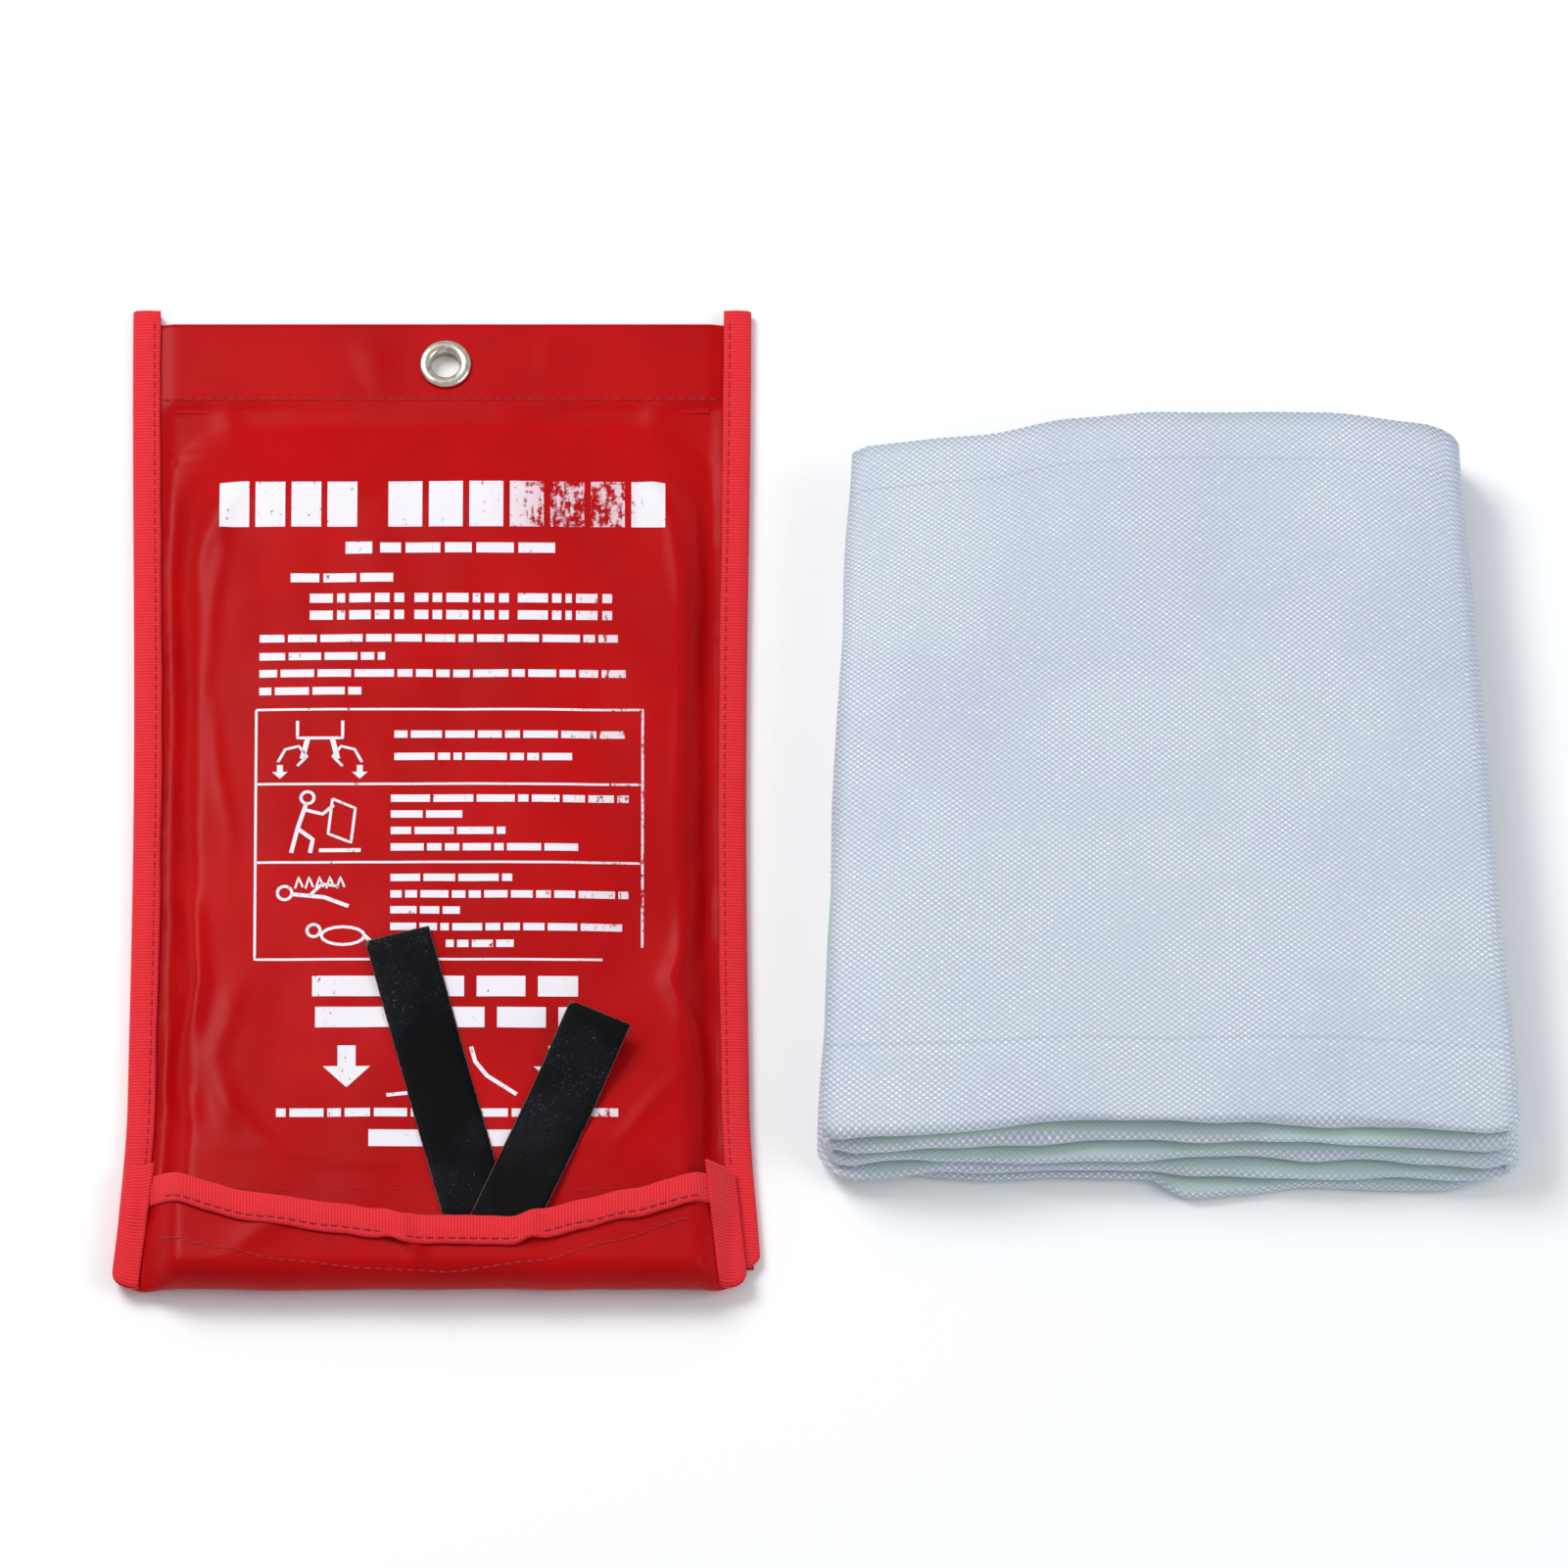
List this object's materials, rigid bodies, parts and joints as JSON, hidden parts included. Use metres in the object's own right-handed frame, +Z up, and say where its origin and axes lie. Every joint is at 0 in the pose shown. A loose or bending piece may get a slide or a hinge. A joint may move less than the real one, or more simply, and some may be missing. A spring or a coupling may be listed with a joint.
{
  "type": "fire blanket",
  "caption": "Glass-fibre fire blanket: soft red hanging pouch with an eyelet, a closing flap and two pull tapes, beside the folded blanket as unpacked.",
  "frame": {"origin": "middle of the floor under the pouch and the loose blanket, which lie side by side on their backs", "axes": "+X from the pouch to the loose blanket, +Y from the pouch's mouth to its eyelet, +Z up"},
  "size_m": [0.4036, 0.31, 0.0288],
  "materials": {
    "vinyl": "soft vinyl-coated fabric with a low sheen",
    "grosgrain": "ribbed grosgrain tape",
    "nickel": "warm nickel plate",
    "red_thread": "polyester sewing thread",
    "pile": "hook-and-loop tape",
    "glass_fabric": "woven glass fibre",
    "tack_thread": "bonded thread",
    "webbing": "woven polyester tape"
  },
  "bodies": {
    "pouch": {"back_panel": "vinyl", "front_panel": "vinyl", "header_facing": "vinyl", "left_side_binding": "grosgrain", "right_side_binding": "grosgrain", "eyelet": "nickel", "eyelet_washer": "nickel", "header_thread": "red_thread", "front_hem_thread": "red_thread", "left_binding_thread": "red_thread", "right_binding_thread": "red_thread", "left_loop_patch": "pile", "right_loop_patch": "pile", "bottom_fold": "vinyl", "left_tape_root": "webbing", "right_tape_root": "webbing"},
    "flap": {"flap_panel": "vinyl", "lip_binding": "grosgrain", "flap_left_binding": "grosgrain", "flap_right_binding": "grosgrain", "left_hook_patch": "pile", "right_hook_patch": "pile", "lip_thread": "red_thread", "flap_thread": "red_thread"},
    "packed_blanket": {"packed_blanket": "glass_fabric", "tape_bar_tack_upper": "tack_thread", "tape_bar_tack_lower": "tack_thread"},
    "left_tape": {"left_tape": "webbing"},
    "right_tape": {"right_tape": "webbing"},
    "blanket": {"blanket_lower_folds": "glass_fabric", "blanket_spine_fold": "glass_fabric"},
    "blanket_top": {"blanket_top_fold": "glass_fabric"}
  },
  "joints": [
    {"name": "flap_open", "type": "hinge", "parent": "pouch", "child": "flap", "pos_m": [-0.1087, -0.148, 0.00858], "axis": [1, 0, 0], "range_deg": [0, 170], "deforming": ["bottom_fold"]},
    {"name": "left_tape_swing", "type": "hinge", "parent": "pouch", "child": "left_tape", "pos_m": [-0.10524, -0.105, 0.01281], "axis": [1, 0, 0], "range_deg": [0, 150]},
    {"name": "right_tape_swing", "type": "hinge", "parent": "pouch", "child": "right_tape", "pos_m": [-0.07602, -0.105, 0.01361], "axis": [1, 0, 0], "range_deg": [0, 150]},
    {"name": "blanket_draw", "type": "slide", "parent": "pouch", "child": "packed_blanket", "axis": [0, -1, 0], "range_m": [0, 0.04], "deforming": ["left_tape_root", "right_tape_root"]},
    {"name": "blanket_lift", "type": "slide", "parent": "pouch", "child": "blanket", "axis": [0, 0, 1], "range_m": [0, 0.12]},
    {"name": "blanket_top_open", "type": "hinge", "parent": "blanket", "child": "blanket_top", "pos_m": [0.19615, -0.1165, 0.02325], "axis": [-0.0675, 0.9977, 0], "range_deg": [0, 176], "deforming": ["blanket_spine_fold"]}
  ]
}
